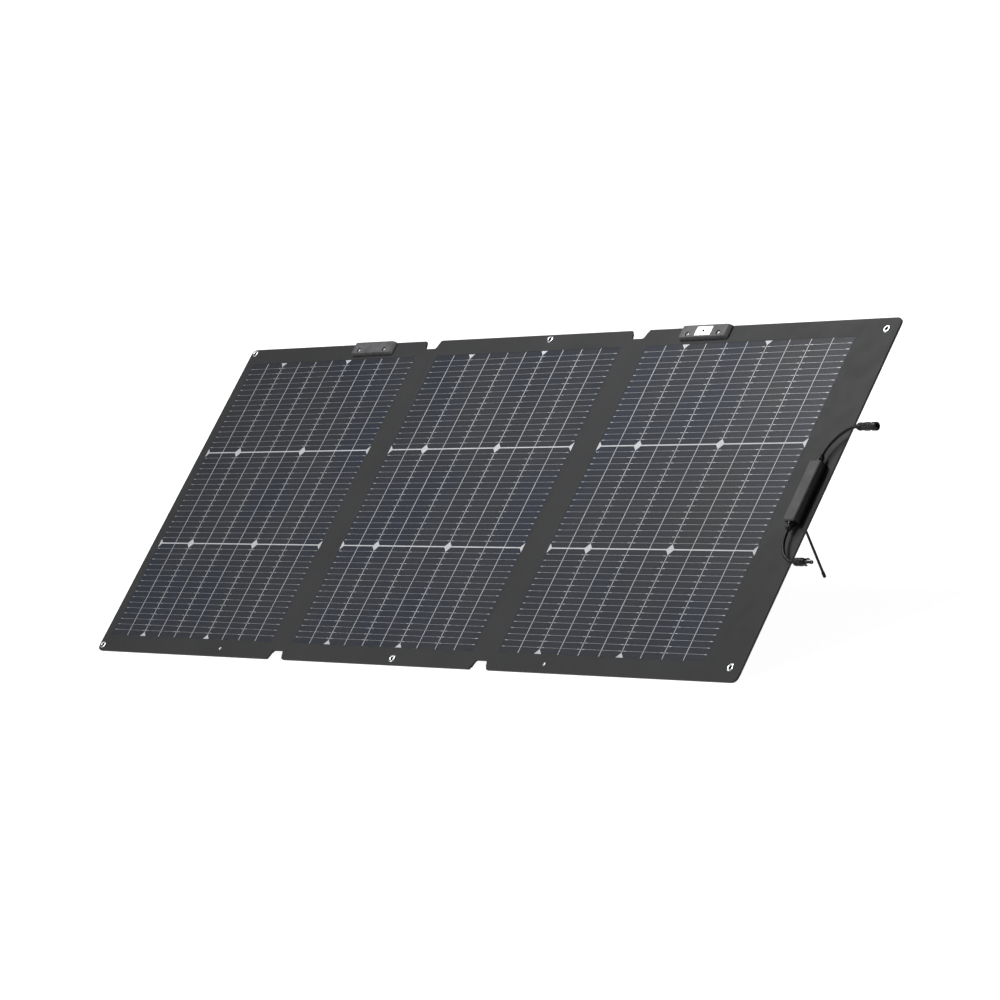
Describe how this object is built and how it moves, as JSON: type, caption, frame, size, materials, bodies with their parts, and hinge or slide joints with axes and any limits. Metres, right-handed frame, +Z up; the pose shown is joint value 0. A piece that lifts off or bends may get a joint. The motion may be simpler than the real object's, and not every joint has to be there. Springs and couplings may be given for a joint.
{
  "type": "folding portable solar panel",
  "caption": "Tri-fold portable solar panel in black laminate, propped at a slope on slender rod legs, with a junction box and two short plug-in leads on one end.",
  "frame": {"origin": "on the ground, below the middle of the opened-out panel's box, leads and their connectors left out", "axes": "+X along the panel's width towards the junction box, +Y from the front edge towards the legs, +Z up"},
  "size_m": [1.6838, 0.4756, 0.4034],
  "materials": {
    "laminate": "charcoal embossed fluoropolymer film",
    "cells": "dark blue-grey silicon under clear embossed film",
    "cell_metal": "fine tinned wires and solder pads",
    "cell_gap": "white reflective sheet seen between the cells",
    "board": "black glass-fibre stiffener",
    "fabric": "black woven polyester",
    "steel": "bright nickel-plated steel",
    "plastic": "black moulded plastic",
    "lid": "dark grey fine-textured plastic",
    "rubber": "black moulded rubber",
    "cable": "black cable sheath",
    "target": "white moulded plastic",
    "circuit": "green circuit board",
    "contact": "tinned brass",
    "rod": "black coated steel rod"
  },
  "bodies": {
    "middle_section": {"front_laminate_middle": "laminate", "cell_matrix_middle": "cells", "stiffener_board_middle": "board", "back_cover_middle": "fabric", "fold_web_left": "fabric", "fold_web_right": "fabric", "eyelet_middle_top": "steel", "eyelet_middle_bottom": "steel", "leg_bracket_middle": "steel", "leg_hinge_pin_middle": "steel"},
    "left_section": {"front_laminate_left": "laminate", "cell_matrix_left": "cells", "stiffener_board_left": "board", "back_cover_left": "fabric", "eyelet_left_top": "steel", "eyelet_left_bottom": "steel", "edge_rivet_left": "steel", "top_clip_left": "plastic", "clip_back_plate_left": "plastic", "clip_screw_left_1": "steel", "clip_screw_left_2": "steel"},
    "right_section": {"front_laminate_right": "laminate", "cell_matrix_right": "cells", "stiffener_board_right": "board", "back_cover_right": "fabric", "eyelet_right_top": "steel", "eyelet_right_bottom": "steel", "edge_rivet_right": "steel", "top_clip_right": "plastic", "clip_back_plate_right": "plastic", "clip_screw_right_1": "steel", "clip_screw_right_2": "steel", "sun_target_plate": "target", "sun_target_post": "plastic", "junction_box_base": "plastic", "junction_box_lid": "lid", "junction_box_seal": "rubber", "terminal_board": "circuit", "bypass_diode": "plastic", "cable_gland_upper": "plastic", "gland_nut_upper": "plastic", "lead_cable_upper": "cable", "cable_gland_lower": "plastic", "gland_nut_lower": "plastic", "lead_cable_lower": "cable", "socket_connector_nut": "plastic", "socket_connector_body": "plastic", "socket_contact": "contact", "pin_connector_nut": "plastic", "pin_connector_body": "plastic", "pin_contact": "contact", "leg_bracket_right": "steel", "leg_hinge_pin_right": "steel"},
    "middle_leg": {"leg_rod_middle": "rod", "leg_foot_middle": "rubber"},
    "right_leg": {"leg_rod_right": "rod", "leg_foot_right": "rubber"}
  },
  "joints": [
    {"name": "left_fold", "type": "hinge", "parent": "middle_section", "child": "left_section", "pos_m": [-0.294, -0.00562, 0.20354], "axis": [0, 0.766, 0.6428], "range_deg": [0, 180]},
    {"name": "right_fold", "type": "hinge", "parent": "middle_section", "child": "right_section", "pos_m": [0.2315, -0.01048, 0.20932], "axis": [0, -0.766, -0.6428], "range_deg": [0, 180]},
    {"name": "middle_leg_hinge", "type": "hinge", "parent": "middle_section", "child": "middle_leg", "pos_m": [-0.211, 0.15556, 0.32104], "axis": [-1, 0, 0], "range_deg": [0, 61.3]},
    {"name": "right_leg_hinge", "type": "hinge", "parent": "right_section", "child": "right_leg", "pos_m": [0.531, 0.15556, 0.32104], "axis": [-1, 0, 0], "range_deg": [0, 61.3]}
  ]
}
